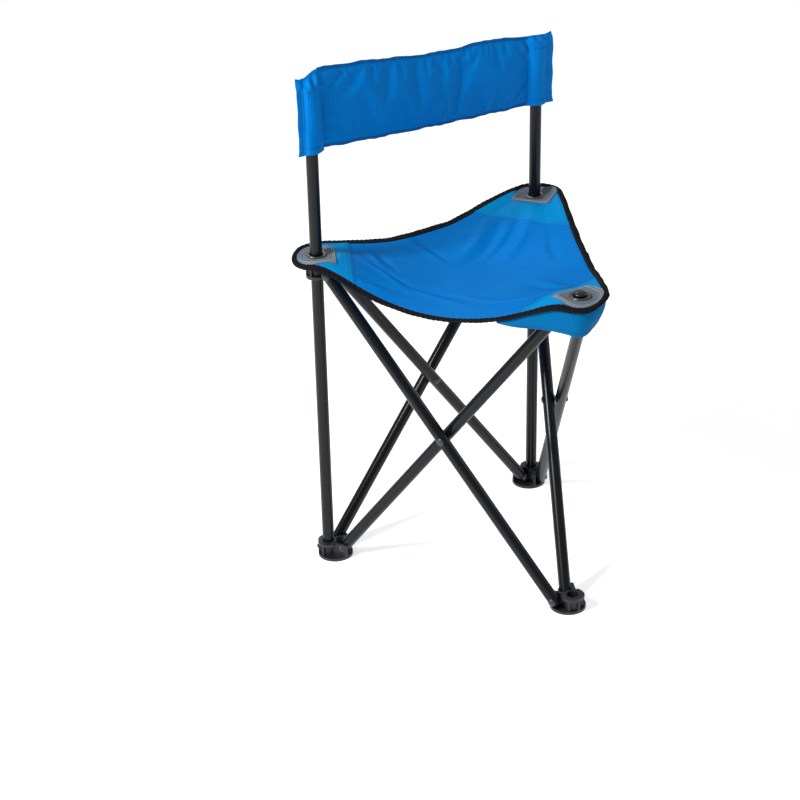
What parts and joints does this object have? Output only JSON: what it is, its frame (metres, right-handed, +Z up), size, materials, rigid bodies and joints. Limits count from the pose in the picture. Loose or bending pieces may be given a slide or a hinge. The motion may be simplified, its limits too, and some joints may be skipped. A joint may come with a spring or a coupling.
{
  "type": "folding camp stool",
  "caption": "Folding three-legged stool of crossed tubes with a slung cloth seat and a cloth backrest on two tall rear posts.",
  "frame": {"origin": "on the floor under the middle of the open stool's bounding box", "axes": "+Z up, -Y to the front corner, +X towards the rear post named right"},
  "size_m": [0.4264, 0.3746, 0.687],
  "materials": {
    "black_tube": "semi-gloss powder coat",
    "black_moulding": "fine matt grain",
    "dark_rivet": "black, slightly worn",
    "washer_steel": "plain",
    "blue_seat_cloth": "woven polyester",
    "blue_backrest_cloth": "woven polyester",
    "black_binding": "ribbed tape",
    "grey_patch_cloth": "coarse weave",
    "dark_nickel": "darkened",
    "black_knob": "moulded"
  },
  "bodies": {
    "front_foot": {"foot_front": "black_moulding", "foot_rivets_front": "dark_rivet"},
    "outer_tube_lf": {"tube_outer_lf": "black_tube", "cross_rivet_lf": "dark_rivet", "cross_washer_lf": "washer_steel"},
    "inner_tube_lf": {"tube_inner_lf": "black_tube"},
    "left_foot_and_post": {"foot_left": "black_moulding", "foot_rivets_left": "dark_rivet", "post_left": "black_tube", "post_cap_left": "black_moulding", "post_pin_left": "dark_rivet", "sleeve_left": "blue_backrest_cloth", "backrest_left": "blue_backrest_cloth"},
    "front_hub": {"hub_front": "black_moulding", "hub_rivets_front": "dark_rivet", "seat_front": "blue_seat_cloth", "binding_front": "black_binding", "patch_front": "grey_patch_cloth", "grommet_front": "dark_nickel", "front_knob": "black_knob", "front_pocket": "blue_seat_cloth"},
    "left_hub": {"hub_left": "black_moulding", "hub_rivets_left": "dark_rivet", "seat_left": "blue_seat_cloth", "binding_left": "black_binding", "patch_left": "grey_patch_cloth", "grommet_left": "dark_nickel"},
    "inner_tube_fr": {"tube_inner_fr": "black_tube"},
    "outer_tube_fr": {"tube_outer_fr": "black_tube", "cross_rivet_fr": "dark_rivet", "cross_washer_fr": "washer_steel"},
    "right_foot_and_post": {"foot_right": "black_moulding", "foot_rivets_right": "dark_rivet", "post_right": "black_tube", "post_cap_right": "black_moulding", "post_pin_right": "dark_rivet", "sleeve_right": "blue_backrest_cloth", "backrest_right": "blue_backrest_cloth"},
    "right_hub": {"hub_right": "black_moulding", "hub_rivets_right": "dark_rivet", "seat_right": "blue_seat_cloth", "binding_right": "black_binding", "patch_right": "grey_patch_cloth", "grommet_right": "dark_nickel"},
    "outer_tube_rl": {"tube_outer_rl": "black_tube", "cross_rivet_rl": "dark_rivet", "cross_washer_rl": "washer_steel"},
    "inner_tube_rl": {"tube_inner_rl": "black_tube"}
  },
  "joints": [
    {"name": "fold", "type": "hinge", "parent": "front_foot", "child": "outer_tube_lf", "pos_m": [-0.02045, -0.14169, 0.014], "axis": [0.866, 0.5, 0], "range_deg": [0, 34], "deforming": ["seat_left", "seat_front", "seat_right", "binding_left", "binding_front", "binding_right", "patch_left", "patch_front", "patch_right", "front_pocket", "backrest_left", "backrest_right"]},
    {"name": "cross_lf", "type": "hinge", "parent": "outer_tube_lf", "child": "inner_tube_lf", "pos_m": [-0.0918, -0.00125, 0.2192], "axis": [-0.866, -0.5, 0], "range_deg": [0, 68]},
    {"name": "foot_left_turn", "type": "hinge", "parent": "inner_tube_lf", "child": "left_foot_and_post", "pos_m": [-0.16314, 0.13919, 0.014], "axis": [0.866, 0.5, 0], "range_deg": [0, 34]},
    {"name": "hub_front_turn", "type": "hinge", "parent": "inner_tube_lf", "child": "front_hub", "pos_m": [-0.00584, -0.13326, 0.4244], "axis": [0.866, 0.5, 0], "range_deg": [0, 34]},
    {"name": "hub_left_turn", "type": "hinge", "parent": "outer_tube_lf", "child": "left_hub", "pos_m": [-0.17775, 0.13076, 0.4244], "axis": [-0.866, -0.5, 0], "range_deg": [0, 34]},
    {"name": "inner_fr_foot", "type": "hinge", "parent": "front_foot", "child": "inner_tube_fr", "pos_m": [0.00584, -0.13326, 0.014], "axis": [0.866, -0.5, 0], "range_deg": [0, 34]},
    {"name": "cross_fr", "type": "hinge", "parent": "inner_tube_fr", "child": "outer_tube_fr", "pos_m": [0.0918, -0.00125, 0.2192], "axis": [-0.866, 0.5, 0], "range_deg": [0, 68]},
    {"name": "foot_right_turn", "type": "hinge", "parent": "outer_tube_fr", "child": "right_foot_and_post", "pos_m": [0.17775, 0.13076, 0.014], "axis": [0.866, -0.5, 0], "range_deg": [0, 34]},
    {"name": "hub_right_turn", "type": "hinge", "parent": "inner_tube_fr", "child": "right_hub", "pos_m": [0.16314, 0.13919, 0.4244], "axis": [-0.866, 0.5, 0], "range_deg": [0, 34]},
    {"name": "outer_rl_foot", "type": "hinge", "parent": "left_foot_and_post", "child": "outer_tube_rl", "pos_m": [-0.1573, 0.16618, 0.014], "axis": [0, -1, 0], "range_deg": [0, 34]},
    {"name": "cross_rl", "type": "hinge", "parent": "outer_tube_rl", "child": "inner_tube_rl", "pos_m": [0, 0.15775, 0.2192], "axis": [0, 1, 0], "range_deg": [0, 68]}
  ],
  "couplings": [
    {"joint": "cross_lf", "follows": "fold", "ratio": 2},
    {"joint": "foot_left_turn", "follows": "fold", "ratio": 1},
    {"joint": "hub_front_turn", "follows": "fold", "ratio": 1},
    {"joint": "hub_left_turn", "follows": "fold", "ratio": 1},
    {"joint": "inner_fr_foot", "follows": "fold", "ratio": 1},
    {"joint": "cross_fr", "follows": "fold", "ratio": 2},
    {"joint": "foot_right_turn", "follows": "fold", "ratio": 1},
    {"joint": "hub_right_turn", "follows": "fold", "ratio": 1},
    {"joint": "outer_rl_foot", "follows": "fold", "ratio": 1},
    {"joint": "cross_rl", "follows": "fold", "ratio": 2}
  ]
}
